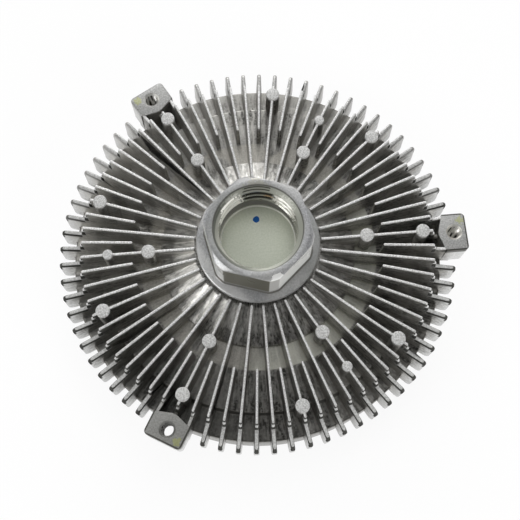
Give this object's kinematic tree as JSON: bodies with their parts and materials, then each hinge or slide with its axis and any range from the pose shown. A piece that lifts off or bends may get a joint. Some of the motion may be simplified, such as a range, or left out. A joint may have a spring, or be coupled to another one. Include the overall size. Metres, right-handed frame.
{
  "type": "viscous fan clutch",
  "caption": "Finned cast viscous fan clutch with a screw-on hexagon hub, tapped fan lugs, a ball bearing, a drive disc and a thermal valve inside.",
  "frame": {"origin": "on the spin axis, level with the rear faces of the three fan lugs", "axes": "+Z along the spin axis towards the hexagon hub, +X through the hole of the first lug"},
  "size_m": [0.1744, 0.17, 0.0675],
  "materials": {
    "cast_aluminium": "satin die-cast",
    "machined_aluminium": "turned",
    "plated_steel": "zinc plated, turned",
    "bearing_steel": "ground and polished",
    "spring_steel": "oiled black",
    "sheet_steel": "cold rolled",
    "bimetal": "rolled, warm grey",
    "seal_rubber": "matte",
    "cage_plastic": "moulded nylon",
    "wiper_plastic": "moulded"
  },
  "bodies": {
    "housing": {"rear_housing": "cast_aluminium", "front_cover": "cast_aluminium", "cover_seal_ring": "seal_rubber", "bearing_outer_ring": "bearing_steel", "bearing_rear_seal": "seal_rubber", "bearing_front_seal": "seal_rubber", "bearing_retaining_ring": "spring_steel", "valve_plate": "sheet_steel", "valve_plate_rivets": "sheet_steel", "fluid_wiper": "wiper_plastic", "valve_lever_rivet": "sheet_steel", "control_pin_seal": "seal_rubber", "bimetal_strip": "bimetal"},
    "input": {"input_hub": "plated_steel", "bearing_inner_ring": "bearing_steel", "drive_disc": "machined_aluminium", "drive_disc_clip": "spring_steel"},
    "ball_set": {"bearing_balls": "bearing_steel", "bearing_cage": "cage_plastic"},
    "pin": {"control_pin": "bearing_steel"},
    "lever": {"valve_lever": "spring_steel"}
  },
  "joints": [
    {"name": "input_spin", "type": "hinge", "parent": "housing", "child": "input", "pos_m": [0, 0, 0], "axis": [0, 0, 1], "continuous": true},
    {"name": "ball_set_spin", "type": "hinge", "parent": "housing", "child": "ball_set", "pos_m": [0, 0, -0.009], "axis": [0, 0, 1], "continuous": true},
    {"name": "pin_slide", "type": "slide", "parent": "housing", "child": "pin", "axis": [0, 0, -1], "range_m": [0, 0.001], "stiffness_N_per_m": 200, "deforming": ["bimetal_strip"]},
    {"name": "lever_swing", "type": "hinge", "parent": "housing", "child": "lever", "pos_m": [-0.02, 0, -0.02645], "axis": [0, 1, 0], "range_deg": [0, 2.7]}
  ],
  "couplings": [
    {"joint": "ball_set_spin", "follows": "input_spin", "ratio": 0.3821},
    {"joint": "lever_swing", "follows": "pin_slide", "rad_per_m": 45.38}
  ]
}
